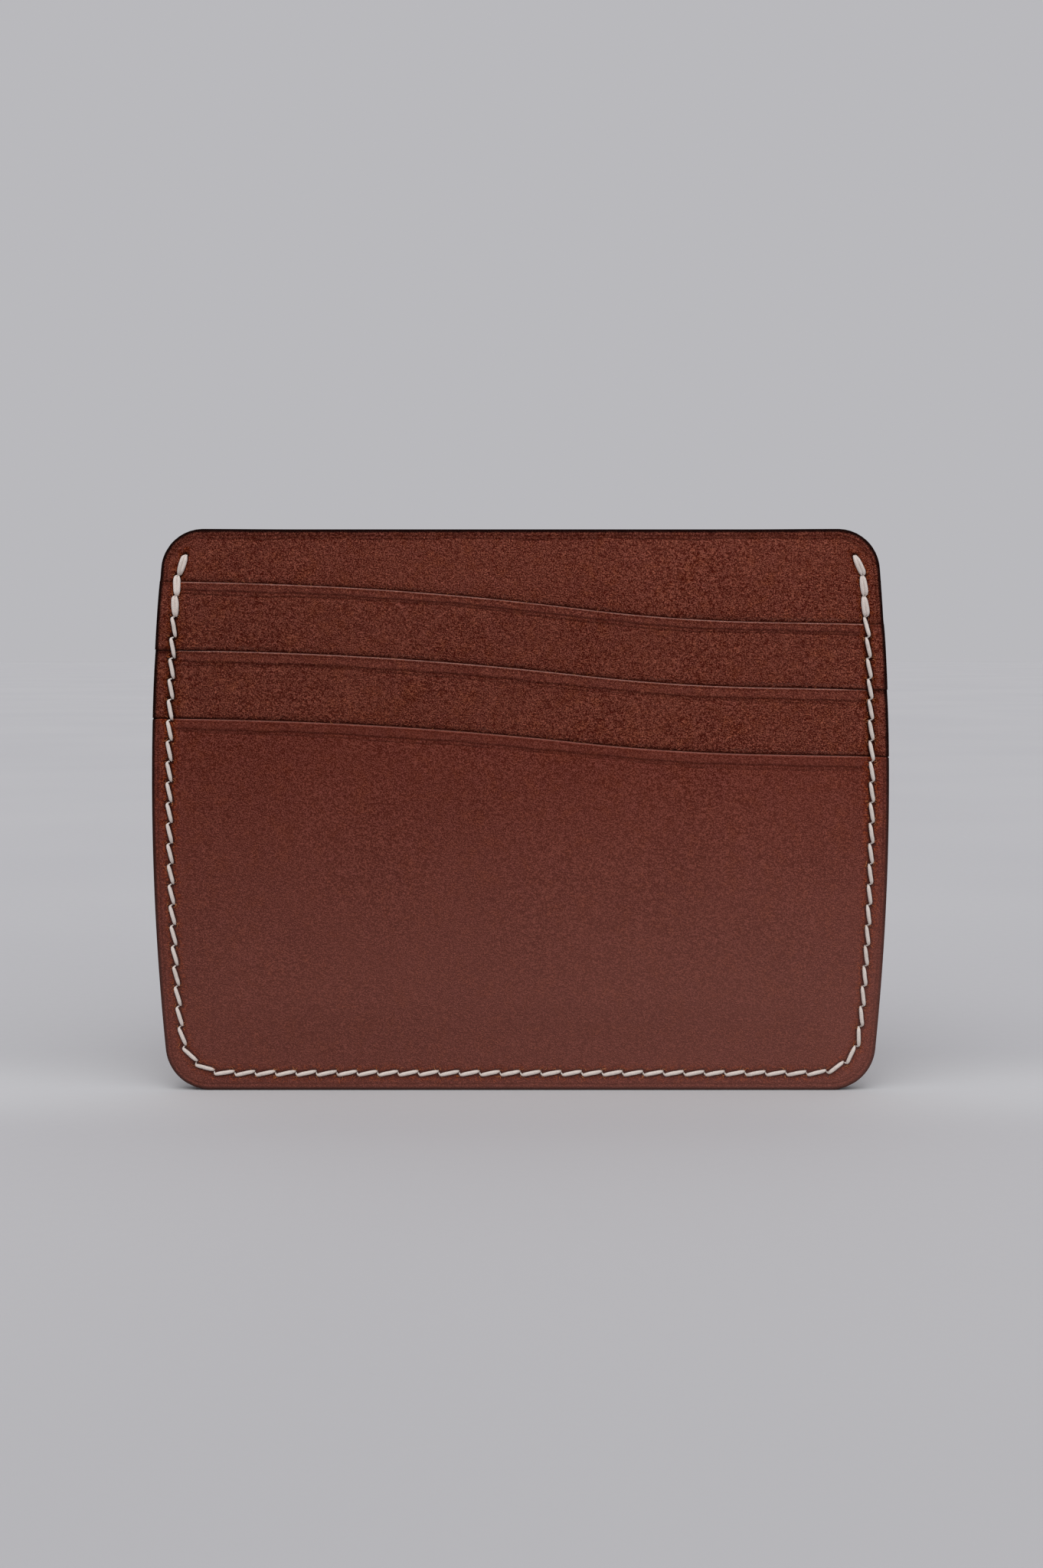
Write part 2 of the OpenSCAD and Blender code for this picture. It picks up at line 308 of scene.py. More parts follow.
def arc(centre, r, a, b, step=0.05):
    """Points along an arc as (x, z, inward x, inward z)."""
    n = max(8, int(abs(b - a) * r / step))
    return [(centre[0] + r * math.cos(t), centre[1] + r * math.sin(t), -math.cos(t), -math.sin(t))
            for t in np.linspace(a, b, n + 1)]


def guide_half(mouth):
    """Half a line inside the outline, from the bottom's middle up the right side to the top's middle."""
    centre_x, seam_r, low_x, low_z, low_a = seam_line()
    r = GUIDE_R
    top_z = mouth(side_x(MIDDLE_Z) - SEAM_INSET - r) - SEAM_INSET - r if mouth else HEIGHT - TOP_R
    top_a = math.asin((top_z - MIDDLE_Z) / (seam_r - r))
    top_x = centre_x + (seam_r - r) * math.cos(top_a)
    points = [(x, SEAM_INSET, 0, 1) for x in np.linspace(0, low_x, 800)]
    points += arc((low_x, low_z), SEAM_CORNER_R, -math.pi / 2, -low_a)
    points += arc((centre_x, MIDDLE_Z), seam_r, -low_a, top_a)
    points += arc((top_x, top_z), r, top_a, math.pi / 2)
    for x in np.linspace(top_x, 0, 800):
        points.append((x, (mouth(x) if mouth else HEIGHT) - SEAM_INSET, 0, -1))
    marks = [(low_x, low_z, SEAM_CORNER_R, (-math.pi / 2 - low_a) / 2),
             (top_x, top_z, r, (top_a + math.pi / 2) / 2)]
    return points, [(cx + rr * math.cos(t), cz + rr * math.sin(t)) for cx, cz, rr, t in marks]


def mirrored(points):
    """The same line on the other side, run the other way."""
    return [(-p[0], p[1], -p[2], p[3]) for p in reversed(points)]


def spread(start, end, wanted, count):
    """Places from start to end that include the wanted ones, split until there are count steps."""
    if not wanted:
        return list(np.linspace(start, end, count + 1))
    places = sorted({start, end, *[p for p in wanted if start + 0.05 < p < end - 0.05]})
    while len(places) <= count:
        gaps = np.diff(places)
        i = int(np.argmax(gaps))
        places.insert(i + 1, (places[i] + places[i + 1]) / 2)
    return places


def guide_loop(mouth_k):
    """The closed line inside the edge, as (x, z, inward x, inward z), and its corners right and left."""
    def top_of(sign):
        return (lambda x: float(mouth_z(mouth_k, sign * x))) if mouth_k is not None else None

    right, right_marks = guide_half(top_of(1))
    left, left_marks = guide_half(top_of(-1))
    loop = right + mirrored(left)
    following = loop[1:] + loop[:1]
    loop = [p for p, q in zip(loop, following) if math.hypot(p[0] - q[0], p[1] - q[1]) > 1e-9]
    return np.array(loop), right_marks, [(-x, z) for x, z in left_marks]


def guide_points(mouth_k):
    """The guide's points where the rings' columns stand, close together beside each hole."""
    loop, right_marks, left_marks = guide_loop(mouth_k)
    place = np.concatenate([[0], np.cumsum(np.hypot(*np.diff(loop[:, :2], axis=0).T))])
    length = place[-1]

    def place_of(x, z):
        return float(place[np.argmin(np.hypot(loop[:, 0] - x, loop[:, 1] - z))])

    low_right, high_right = [place_of(*mark) for mark in right_marks]
    low_left, high_left = [place_of(*mark) for mark in left_marks]
    wanted = []
    for x, z, _ in HOLES:
        if mouth_k is None or z < mouth_z(mouth_k, x) - 1:
            at_hole = place_of(x, z)
            wanted += [at_hole + d for d in BESIDE_HOLE]
    wanted = sorted(p - length if p > low_left else p for p in wanted)
    low_left -= length
    bottom = spread(low_left, low_right, wanted, STEPS_ACROSS)
    right = spread(low_right, high_right, wanted, STEPS_UP)
    top = spread(high_right, high_left, [], STEPS_ACROSS)
    left = spread(high_left, low_left + length, [p + length for p in wanted], STEPS_UP)
    places = np.array(bottom[:-1] + right[:-1] + top[:-1] + left[:-1]) % length
    return [np.interp(places, place, loop[:, i]) for i in range(4)]


def edge_rings(mouth_k):
    """A ring of points for each inset from the edge, found by halving along the guide's inward lines."""
    x, z, inward_x, inward_z = guide_points(mouth_k)

    def inset_of(x, z):
        d = edge_distance(x, z)
        return d if mouth_k is None else np.minimum(d, mouth_z(mouth_k, x) - z)

    rings = []
    for d in RING_INSETS:
        low, high = np.full(len(x), -9.0), np.full(len(x), 3.2)
        for _ in range(40):
            t = (low + high) / 2
            short = inset_of(x + inward_x * t, z + inward_z * t) < d
            low, high = np.where(short, t, low), np.where(short, high, t)
        rings.append(np.stack([x + inward_x * high, z + inward_z * high], 1))
    return np.concatenate(rings)


def grid_faces(grid):
    """Four-sided faces between a grid's rows and columns."""
    return np.stack([grid[:-1, :-1], grid[:-1, 1:], grid[1:, 1:], grid[1:, :-1]], -1)


def inner_grid(points, last):
    """A plain grid inside the last ring, blended from its four sides, as its new points and its faces."""
    across, up = STEPS_ACROSS, STEPS_UP
    n = len(points) - last
    grid = np.zeros((up + 1, across + 1), int)
    grid[0, :] = last + np.arange(across + 1)
    grid[:, -1] = last + across + np.arange(up + 1)
    grid[-1, ::-1] = last + across + up + np.arange(across + 1)
    grid[::-1, 0] = last + (2 * across + up + np.arange(up + 1)) % n
    u = np.linspace(0, 1, across + 1)[None, :, None]
    v = np.linspace(0, 1, up + 1)[:, None, None]
    low, high = points[grid[0]][None], points[grid[-1]][None]
    left, right = points[grid[:, 0]][:, None], points[grid[:, -1]][:, None]
    patch = ((1 - v) * low + v * high + (1 - u) * left + u * right
             - (1 - u) * (1 - v) * low[:, :1] - u * (1 - v) * low[:, -1:]
             - (1 - u) * v * high[:, :1] - u * v * high[:, -1:])
    inner = patch[1:-1, 1:-1].reshape(-1, 2)
    grid[1:-1, 1:-1] = len(points) + np.arange(len(inner)).reshape(up - 1, across - 1)
    return inner, grid_faces(grid).reshape(-1, 4)


def ring_layout(mouth_k=None):
    """Rings that follow the edge, round a plain grid. A mouth closes the top, or else the outline does."""
    points = edge_rings(mouth_k)
    n = len(points) // len(RING_INSETS)
    last = len(points) - n
    i = np.arange(n)
    j = (i + 1) % n
    faces = [np.stack([start + i, start + j, start + n + j, start + n + i], 1) for start in range(0, last, n)]
    inner, quads = inner_grid(points, last)
    return np.concatenate([points, inner]), np.concatenate([*faces, quads])


MOUTH_DROPS = (3.0, 2.6, 2.3, 2.05, 1.85, 1.72, 1.6, 1.5, 1.4, 1.3, 1.2, 1.1, 1.0, 0.85, 0.7, 0.56, 0.42, 0.3,
               0.2, 0.12, 0.06, 0.02, 0)
WING_INSETS = (0, 0.02, 0.06, 0.12, 0.2, 0.35, 0.55, 0.8, 1.0, 1.25, 1.5, 1.75, 1.95, 2.15, 2.35, 2.5,
               2.65, 2.85, 3.05, 3.3, 3.6, 4.0, 4.5, 5.0)
TUCK_COLUMNS = (45.1, TUCK_HALF, 43.0)
TUCK_DROPS = (TUCK_DEPTH, 1.0, 0.6, 0.3, 0.1, 0.0)
BUTT_RISE = 0.05  # how far above the next mouth the bar begins
STEM_COLUMNS, STEM_ROWS, BAR_ROWS = 106, 41, 21


def stem_columns():
    """Columns from left to right: (side, inset) in the wings, and (0, x) between them."""
    columns = [(-1, d) for d in WING_INSETS] + [(0, -x) for x in TUCK_COLUMNS]
    columns += [(0, x) for x in np.linspace(-STEM_HALF, STEM_HALF, STEM_COLUMNS)]
    columns += [(0, x) for x in reversed(TUCK_COLUMNS)]
    return columns + [(1, d) for d in reversed(WING_INSETS)]


def stem_rows():
    """Rows from the foot up, each with its part of the leather and its place in that part."""
    rows = [("stem", t) for t in np.linspace(0, 1, STEM_ROWS + 1)[:-1]]
    rows += [("tuck", d) for d in TUCK_DROPS] + [("butt", BUTT_RISE)]
    rows += [("bar", t) for t in np.linspace(0.06, 1, BAR_ROWS + 1)[:-1]]
    return rows + [("mouth", d) for d in MOUTH_DROPS]


def stem_point(k, part, t, sign, d):
    """A point of pocket k. In a wing, x and z depend on each other, so both are found in turns."""
    x = d
    for _ in range(3 if sign else 1):
        lip, tip = float(mouth_z(k + 1, x)), float(mouth_z(k, x))
        z = {"stem": STEM_FOOT[k] + t * (lip - TUCK_DEPTH - STEM_FOOT[k]),
             "tuck": lip - t,
             "butt": lip + t,
             "bar": lip + t * (tip - MOUTH_DROPS[0] - lip),
             "mouth": tip - t}[part]
        x = sign * (float(side_x(z)) - d) if sign else d
    return x, z


def stem_layout(k):
    """A T: a bar from seam to seam, above the next pocket's mouth, and a narrower stem down to its foot."""
    rows, columns = stem_rows(), stem_columns()
    points = np.array([[stem_point(k, part, t, sign, d) for sign, d in columns] for part, t in rows])
    half = np.array([TUCK_HALF + 9 if sign else abs(d) for sign, d in columns])
    reach = {"stem": STEM_HALF, "tuck": TUCK_HALF}
    faces = []
    for (part, _), row in zip(rows, grid_faces(np.arange(half.size * len(rows)).reshape(len(rows), -1))):
        limit = reach.get(part, FAR) + 0.01
        faces.append(row[(half[:-1] <= limit) & (half[1:] <= limit)])
    used, renumbered = np.unique(np.concatenate(faces), return_inverse=True)
    return points.reshape(-1, 2)[used], renumbered.reshape(-1, 4)


# --- Meshes ---

def in_scene(name, data):
    new = bpy.data.objects.new(name, data)
    bpy.context.scene.collection.objects.link(new)
    return new


def add_object(name, vertices, faces, materials, face_materials=None, attributes=None):
    """A smooth-shaded mesh from millimetres, with values at its vertices that its materials read."""
    mesh = bpy.data.meshes.new(name)
    mesh.from_pydata((vertices * MM).tolist(), [], faces.tolist() if isinstance(faces, np.ndarray) else faces)
    for key, values in (attributes or {}).items():
        mesh.attributes.new(key, "FLOAT", "POINT").data.foreach_set("value", np.asarray(values, np.float32))
    for material in materials:
        mesh.materials.append(material)
    if face_materials is not None:
        mesh.polygons.foreach_set("material_index", np.asarray(face_materials, np.int32))
    mesh.polygons.foreach_set("use_smooth", np.ones(len(mesh.polygons), bool))
    mesh.update()
    return in_scene(name, mesh)


def joined(parts):
    """Several (vertices, faces) as one."""
    vertices, faces, offset = [], [], 0
    for more, quads in parts:
        vertices.append(more)
        faces += [tuple(offset + c for c in face) for face in quads]
        offset += len(more)
    return np.concatenate(vertices), faces


def rim_edges(faces):
    """The edges that belong to one face only, with the face on their left."""
    sides = np.concatenate([faces[:, [i, (i + 1) % 4]] for i in range(4)])
    size = int(sides.max()) + 1
    forward = sides[:, 0] * size + sides[:, 1]
    backward = sides[:, 1] * size + sides[:, 0]
    return sides[~np.isin(forward, backward)]


def leather(name, layout, front, rear, mouth_k, next_k, materials, seam_tree=FRONT_TREE):
    """Closes a flat layout into a leather. front and rear give depths from (x, z, values at the points)."""
    points, faces = layout
    x, z = points.T
    far = np.full(len(x), FAR)
    values = {
        "edge_d": edge_distance(x, z),
        "lip_d": mouth_z(mouth_k, x) - z if mouth_k is not None else far,
        "above_next": z - mouth_z(next_k, x) if next_k is not None else far,
        "seam_d": distances(seam_tree, x, z),
        "hole_d": distances(HOLE_TREE, x, z),
    }
    values["crease_d"] = crease_distance(x, z, values, mouth_k)
    n = len(points)
    front_y, rear_y = front(x, z, values), rear(x, z, values)
    vertices = np.concatenate([np.stack([x, front_y, z], 1), np.stack([x, rear_y, z], 1)])
    rim = rim_edges(faces)
    walls = np.stack([rim[:, 0], rim[:, 0] + n, rim[:, 1] + n, rim[:, 1]], 1)
    at_lip = (values["lip_d"][rim].mean(1) < 0.01) & (values["edge_d"][rim].mean(1) > SEAM_INSET + 0.3)
    all_faces = np.concatenate([faces, faces[:, ::-1] + n, walls])
    slots = np.concatenate([np.zeros(len(faces)), np.ones(len(faces)), np.where(at_lip, 3, 2)])
    doubled = {key: np.concatenate([v, v]) for key, v in values.items()}
    return add_object(name, vertices, all_faces, materials, slots, doubled)


# --- Leather shapes ---

def crease_distance(x, z, values, mouth_k):
    """Distance from the nearest pressed line: a double one below a mouth, a fainter one inside the edge."""
    wander = 0.05 * np.sin(0.31 * x + 0.7) + 0.04 * np.sin(0.83 * x)
    outer = np.abs(values["edge_d"] - EDGE_CREASE - wander) + 0.05
    if mouth_k is None:
        top = smooth((SEAM_START + 2 - (HEIGHT - z)) / 3)
        again = np.abs(values["edge_d"] - EDGE_CREASE - SECOND_CREASE - 2 * wander)
        return np.minimum(outer - 0.05 * top, again + 0.3 * (1 - top))
    from_first = values["lip_d"] - CREASE_DROP[mouth_k] - wander
    apart = SECOND_CREASE + 0.12 * np.sin(0.12 * x + 2 * mouth_k)
    first, second = np.abs(from_first), np.abs(from_first - apart) + 0.04
    outside = 0.3 * smooth((SEAM_INSET + 1 - values["edge_d"]) / 1.5)
    return np.minimum(np.minimum(first, second) + outside, outer if mouth_k == 2 else FAR)


def pressed(values):
    """The relief of a grain face: stitches and pressed lines."""
    lines = CREASE_DEPTH * np.exp(-((values["crease_d"] / CREASE_HALF) ** 2))
    return seam_relief(values["seam_d"], values["hole_d"]) + lines


def front_pocket(materials):
    """The large leather in front, with its mouth and its three sewn edges."""
    def base(x, z):
        return rear_face(FRONT_GIVE, x, z) + flare(2, x, z)

    def rear(x, z, values):
        return base(x, z) - rounding(values["lip_d"], 0.2) - rounding(values["edge_d"], 0.04)

    def front(x, z, values):
        edges = rounding(values["lip_d"], 0.34) + rounding(values["edge_d"], 0.5)
        return base(x, z) - FRONT_T + edges + pressed(values)

    return leather("front_pocket_leather", ring_layout(2), front, rear, 2, None, materials)


def stem_pocket(name, k, give, materials):
    """Pocket k, 0 or 1: its bar shows, and its stem lies behind the next pocket."""
    def seat(x, z):
        """How far back the stem's lower end may go, once nothing lies behind it."""
        if k == 0:
            return 0.0
        return smooth((STEM_FOOT[0] - z) / 4) * (STEM_T + LAYER_GAP) * looseness(x, z)

    def base(x, z):
        return rear_face(give, x, z) + flare(k, x, z) + seat(x, z)

    def rear(x, z, values):
        return base(x, z) - rounding(values["lip_d"], 0.16) - rounding(values["edge_d"], 0.03)

    def front(x, z, values):
        covered = z < mouth_z(k + 1, x) + 0.02
        margin = smooth((SEAM_INSET + 1 - values["edge_d"]) / 2)
        skived = 1 - 0.75 * margin * np.exp(-np.clip(values["lip_d"], 0, None) / 2.5)
        thickness = np.where(covered, stem_room(x, z), STEM_T * skived)
        y = base(x, z) - thickness
        edge = rounding(values["edge_d"], 0.12) + rounding(values["lip_d"], 0.26) * (1 - margin)
        return y + np.where(covered, 0, edge + pressed(values))

    return leather(name, stem_layout(k), front, rear, k, k + 1, materials)


def pocket_backing(materials):
    """The full leather behind the pockets, open at the top towards the back panel."""
    def front(x, z, values):
        y = rear_face(BACKING_GIVE, x, z)
        open_part = smooth((z - mouth_z(0, x)) / 0.5)
        relief = pressed(values) + rounding(values["edge_d"], 0.26)
        return y + open_part * relief + (1 - open_part) * rounding(values["edge_d"], 0.04)

    def rear(x, z, values):
        return rear_face(BACKING_GIVE, x, z) + BACKING_T - rounding(values["edge_d"], 0.12)

    return leather("pocket_backing_leather", ring_layout(), front, rear, None, 0, materials)


def back_panel(materials):
    """The outside leather behind. Its grain faces backward."""
    def front(x, z, values):
        return rear_face(BACK_GIVE, x, z) + BACKING_T + rounding(values["edge_d"], 0.1)

    def rear(x, z, values):
        y = rear_face(BACK_GIVE, x, z) + BACKING_T + BACK_T
        return y - pressed(values) - rounding(values["edge_d"], 0.5)

    return leather("back_panel_leather", ring_layout(), front, rear, None, None, materials, REAR_TREE)


# --- Thread ---

def rounded_path(points, step=0.16):
    """A smooth curve through the points, sampled about every step."""
    p = np.array(points, float)
    p = np.concatenate([[2 * p[0] - p[1]], p, [2 * p[-1] - p[-2]]])
    out = []
    for a, b, c, d in zip(p, p[1:], p[2:], p[3:]):
        n = max(2, int(np.linalg.norm(c - b) / step))
        for t in np.arange(n) / n:
            out.append(0.5 * (2 * b + (c - a) * t + (2 * a - 5 * b + 4 * c - d) * t * t
                              + (3 * b - a - 3 * c + d) * t**3))
    out.append(p[-2])
    return np.array(out)


def swept(path, radius, sides=12, relief=0.03, flat=1.0):
    """Vertices and faces of a closed tube along a path of (x, y, z, thickness), flattened in Y."""
    path, taper = path[:, :3], path[:, 3]
    tangent = np.gradient(path, axis=0)
    tangent /= np.linalg.norm(tangent, axis=1)[:, None]
    up = np.cross(tangent[0], (0.3, 0.5, 0.8))
    up /= np.linalg.norm(up)
    run = np.concatenate([[0], np.cumsum(np.linalg.norm(np.diff(path, axis=0), axis=1))])
    angle = np.arange(sides) * 2 * math.pi / sides
    vertices = []
    for i, point in enumerate(path):
        up = up - tangent[i] * np.dot(up, tangent[i])
        up /= np.linalg.norm(up)
        side = np.cross(tangent[i], up)
        ridge = 1 + relief * np.cos(THREAD_PLIES * angle - 2 * math.pi * run[i] / THREAD_LAY)
        r = radius * ridge * taper[i]
        ring = (r * np.cos(angle))[:, None] * up + (r * np.sin(angle))[:, None] * side
        vertices.append(point + ring * (1, flat, 1))
    n = len(path)
    faces = []
    for i in range(n - 1):
        for j in range(sides):
            k = (j + 1) % sides
            faces.append((i * sides + j, i * sides + k, (i + 1) * sides + k, (i + 1) * sides + j))
    faces.append(tuple(reversed(range(sides))))
    faces.append(tuple((n - 1) * sides + j for j in range(sides)))
    return np.concatenate(vertices), faces


def beside(hole, inward, y):
    """A point at depth y, some way inward of a hole."""
    return (hole[0] + inward * math.cos(hole[2]), y, hole[1] + inward * math.sin(hole[2]))


# A stitch between two holes: share of the way, place aside as a share of its lean, height of the thread's
# middle over the leather, thickness
STITCH_WAY = ((0.000, -0.15, -0.26, 0.40), (0.035, -0.75, -0.12, 0.44), (0.09, -1.08, 0.00, 0.76),
              (0.20, -0.80, 0.09, 0.97), (0.40, -0.22, 0.13, 1.03), (0.62, 0.30, 0.13, 1.03),
              (0.80, 0.70, 0.09, 0.96), (0.91, 0.92, -0.03, 0.72), (0.965, 0.95, -0.32, 0.52),
              (0.99, 0.90, -0.65, 0.46))
IN_HOLE = 0.46  # the thread's thickness inside a hole, as a share
FLATTENED = 0.85


def over_leather(hole, following, depths, outward, lean, pair=0, lift=0.0):
    """The thread's way over the leather between two holes. outward is -1 in front and 1 behind."""
    points = []
    for t, share, height, size in STITCH_WAY:
        aside = share * lean + pair * (PAIR_SHIFT + PAIR_BOW * math.sin(math.pi * t**0.7) ** 0.6)
        a, b = [np.array(beside(h, aside, y)) for h, y in zip((hole, following), depths)]
        p = a + t * (b - a) + (0, outward * (height + lift), 0)
        points.append((*p, size))
    return points


def strand(holes, d, front_y, rear_y, first, doubled=0):
    """One needle's thread. It changes face at every hole, beside the other needle's thread."""
    points = []
    last = len(holes) - 1
    for i in range(last):
        outward = -1 if (i + first) % 2 else 1
        faces_y = front_y if outward < 0 else rear_y
        lean = -outward * (lean_of(i) if doubled else 0.54 * d)
        pair = -1 if i < doubled or i >= last - doubled else 0
        start = -0.15 * lean + pair * PAIR_SHIFT
        points.append((*beside(holes[i], start, (front_y[i] + rear_y[i]) / 2), IN_HOLE))
        wobble = random.uniform(-0.02, 0.03)
        points += over_leather(holes[i], holes[i + 1], faces_y[i:i + 2], outward, lean, pair, wobble)
    points.append((*beside(holes[last], 0.9 * lean, (front_y[last] + rear_y[last]) / 2), IN_HOLE))
    return rounded_path(points)


def saddle_stitch(name, holes, d, depths, material, doubled=0, **form):
    """Two needles' threads through the same holes."""
    pieces = []
    for first in (0, 1):
        path = strand(holes, d, *depths, first, doubled)
        pieces.append(add_object(f"{name}_{first + 1}", *swept(path, d / 2, **form), [material]))
    return pieces


def seam_depths():
    """Depths of the front and rear faces at each hole of the outer seam."""
    front = []
    for x, z, _ in HOLES:
        thickness = FRONT_T if z < mouth_z(2, x) else STEM_T if z < mouth_z(0, x) else 0
        front.append(SEAM_Y - thickness)
    return front, [SEAM_Y + BACKING_T + BACK_T] * len(HOLES)


def back_stitches(front_y, rear_y):
    """The second thread of each doubled stitch, in front and behind."""
    for end in (0, STITCHES - DOUBLE_STITCHES):
        for i in range(end, end + DOUBLE_STITCHES):
            for outward, depths, lean in ((-1, front_y, lean_of(i)), (1, rear_y, -lean_of(i))):
                lift = random.uniform(-0.05, 0.0)
                path = over_leather(HOLES[i], HOLES[i + 1], depths[i:i + 2], outward, lean, 1, lift)
                yield swept(rounded_path(path), THREAD_D / 2, flat=FLATTENED)


def seam_threads(material):
    """The outer saddle stitch: two needles' threads, and the doubled stitches at both ends."""
    depths = seam_depths()
    threads = saddle_stitch("seam_thread", HOLES, THREAD_D, depths, material, DOUBLE_STITCHES, flat=FLATTENED)
    return [*threads, add_object("seam_back_stitches", *joined(back_stitches(*depths)), [material])]


def stem_thread(name, k, material):
    """The stitches that hold a hidden stem's foot to the backing."""
    z = STEM_FOOT[k] + FOOT_H / 2
    width = 2 * STEM_HALF - 4
    holes = [(width * (i / STEM_STITCHES - 0.5), z, math.pi / 2) for i in range(STEM_STITCHES + 1)]
    x = np.array([h[0] for h in holes])
    backing = rear_face(BACKING_GIVE, x, z)
    depths = backing - stem_room(x, z) + 0.2, backing + BACKING_T - 0.3
    return saddle_stitch(name, holes, STEM_THREAD_D, depths, material, sides=8)


# --- Raised fibres ---

FIBRES_AT_HOLE = (4, 6, 8, 11)
FIBRES_ON_MOUTH = 16


def fibre(start, heading, length, radius, rise):
    """A short bent hair that tapers to a point."""
    steps = 7
    turn = random.uniform(-1.8, 1.8)
    points = []
    for i in range(steps):
        t = i / (steps - 1)
        angle = heading + turn * t
        reach = length * t
        up = rise * math.sin(math.pi * min(1, t * 1.2) / 2)
        points.append((start[0] + reach * math.cos(angle), start[1] - up, start[2] + reach * math.sin(angle),
                       1 - 0.75 * t))
    return swept(np.array(points), radius, sides=5, relief=0)


def fibres_beside_stitches(front_y):
    """Short hairs that the awl raised round the holes."""
    for i in range(1, len(HOLES) - 1):
        x, z, angle = HOLES[i]
        for _ in range(random.choice(FIBRES_AT_HOLE)):
            side = random.choice((-1, 1))
            along = random.gauss(0, 0.35)
            hole = (x - along * math.sin(angle), z + along * math.cos(angle), angle)
            start = beside(hole, side * random.uniform(0.3, 0.55), front_y[i] + 0.08)
            heading = angle + (0 if side > 0 else math.pi) + random.uniform(-1.2, 1.2)
            yield fibre(start, heading, random.uniform(0.15, 0.65), random.uniform(0.022, 0.045), 0.10)


def fibres_on_mouths():
    """A few thin hairs on each cut mouth."""
    give = (TOP_GIVE, MIDDLE_GIVE, FRONT_GIVE)
    thick = (STEM_T, STEM_T, FRONT_T)
    for k in range(3):
        for _ in range(FIBRES_ON_MOUTH):
            x = random.uniform(-44, 44)
            z = float(mouth_z(k, x))
            y = float(rear_face(give[k], x, z) + flare(k, x, z))
            start = (x, y - thick[k] * random.uniform(0.5, 0.85), z - 0.05)
            heading = random.choice((0.5, 1.2, 1.9, 2.7)) + random.uniform(-0.3, 0.3)
            yield fibre(start, heading, random.uniform(0.25, 0.7), random.uniform(0.016, 0.028), 0.1)


def raised_fibres(material):
    front_y, _ = seam_depths()
    hairs = [*fibres_beside_stitches(front_y), *fibres_on_mouths()]
    return add_object("raised_leather_fibres", *joined(hairs), [material])


# --- Materials ---

class Nodes:
    """Short ways to build a node material. Patterns are sized in millimetres."""

    def __init__(self, name):
        self.material = bpy.data.materials.new(name)
        self.material.use_nodes = True
        self.tree = self.material.node_tree
        self.shader = self.tree.nodes["Principled BSDF"]
        place = self.node("TexCoord", {})["Object"]
        self.place = self.node("VectorMath", {0: place, "Scale": 1 / MM}, operation="SCALE")[0]

    def link(self, value, socket):
        """Links a node's output, or sets a plain value on the socket."""
        if isinstance(value, bpy.types.NodeSocket):
            self.tree.links.new(value, socket)
        else:
            socket.default_value = value

    def node(self, kind, inputs, **settings):
        """A new node's outputs."""
        node = self.tree.nodes.new("ShaderNode" + kind)
        for key, value in settings.items():
            setattr(node, key, value)
        for key, value in inputs.items():
            self.link(value, node.inputs[key])
        return node.outputs

    def slanted(self, degrees, stretch):
        """The place turned in the face's plane, and stretched along the turned direction."""
        turn = (0, math.radians(degrees), 0)
        inputs = {"Vector": self.place, "Rotation": turn, "Scale": (stretch, 1, 1)}
        return self.node("Mapping", inputs, vector_type="TEXTURE")[0]

    def stretched(self, scale):
        """The place scaled along each axis."""
        return self.node("VectorMath", {0: self.place, 1: scale}, operation="MULTIPLY")[0]

    def noise(self, size, detail=3.0, roughness=0.55, distortion=0.0, place=None):
        inputs = {"Vector": place or self.place, "Scale": 1 / size, "Detail": detail}
        return self.node("TexNoise", {**inputs, "Roughness": roughness, "Distortion": distortion})["Fac"]

    def parts(self):
        """The place's X, Y and Z in millimetres."""
        return self.node("SeparateXYZ", {0: self.place})

    def grey(self, value):
        return self.node("CombineColor", {0: value, 1: value, 2: value})[0]

    def attribute(self, name):
        return self.node("Attribute", {}, attribute_name=name)["Fac"]

    def math(self, operation, a, b=0.0):
        return self.node("Math", {0: a, 1: b}, operation=operation)[0]

    def plus(self, *values):
        return reduce(lambda a, b: self.math("ADD", a, b), values)

    def times(self, *values):
        return reduce(lambda a, b: self.math("MULTIPLY", a, b), values)

    def away(self, value, middle):
        """How far the value is from the middle."""
        return self.math("ABSOLUTE", self.math("SUBTRACT", value, middle))

    def swing(self, noise, amount):
        """The noise from its middle, times the amount."""
        return self.times(self.math("SUBTRACT", noise, 0.5), amount)

    def between(self, value, low, high, to_low=0.0, to_high=1.0):
        """The value's place between low and high, eased and clamped."""
        if low > high:
            low, high, to_low, to_high = high, low, to_high, to_low
        inputs = {"Value": value, "From Min": low, "From Max": high, "To Min": to_low, "To Max": to_high}
        return self.node("MapRange", inputs, interpolation_type="SMOOTHSTEP")["Result"]

    def mix(self, factor, a, b, blend="MIX"):
        a, b = [c if isinstance(c, bpy.types.NodeSocket) else (*c, 1) for c in (a, b)]
        return self.node("Mix", {0: factor, 6: a, 7: b}, data_type="RGBA", blend_type=blend)[2]

    def bump(self, height, distance, strength=1.0, below=None):
        inputs = {"Strength": strength, "Distance": distance * MM, "Height": height}
        return self.node("Bump", inputs if below is None else {**inputs, "Normal": below})["Normal"]

    def finish(self, colour, roughness, normal=None, specular=0.5):
        self.link(colour, self.shader.inputs["Base Color"])
        self.link(roughness, self.shader.inputs["Roughness"])
        self.shader.inputs["Specular IOR Level"].default_value = specular
        if normal is not None:
            self.link(normal, self.shader.inputs["Normal"])
        return self.material


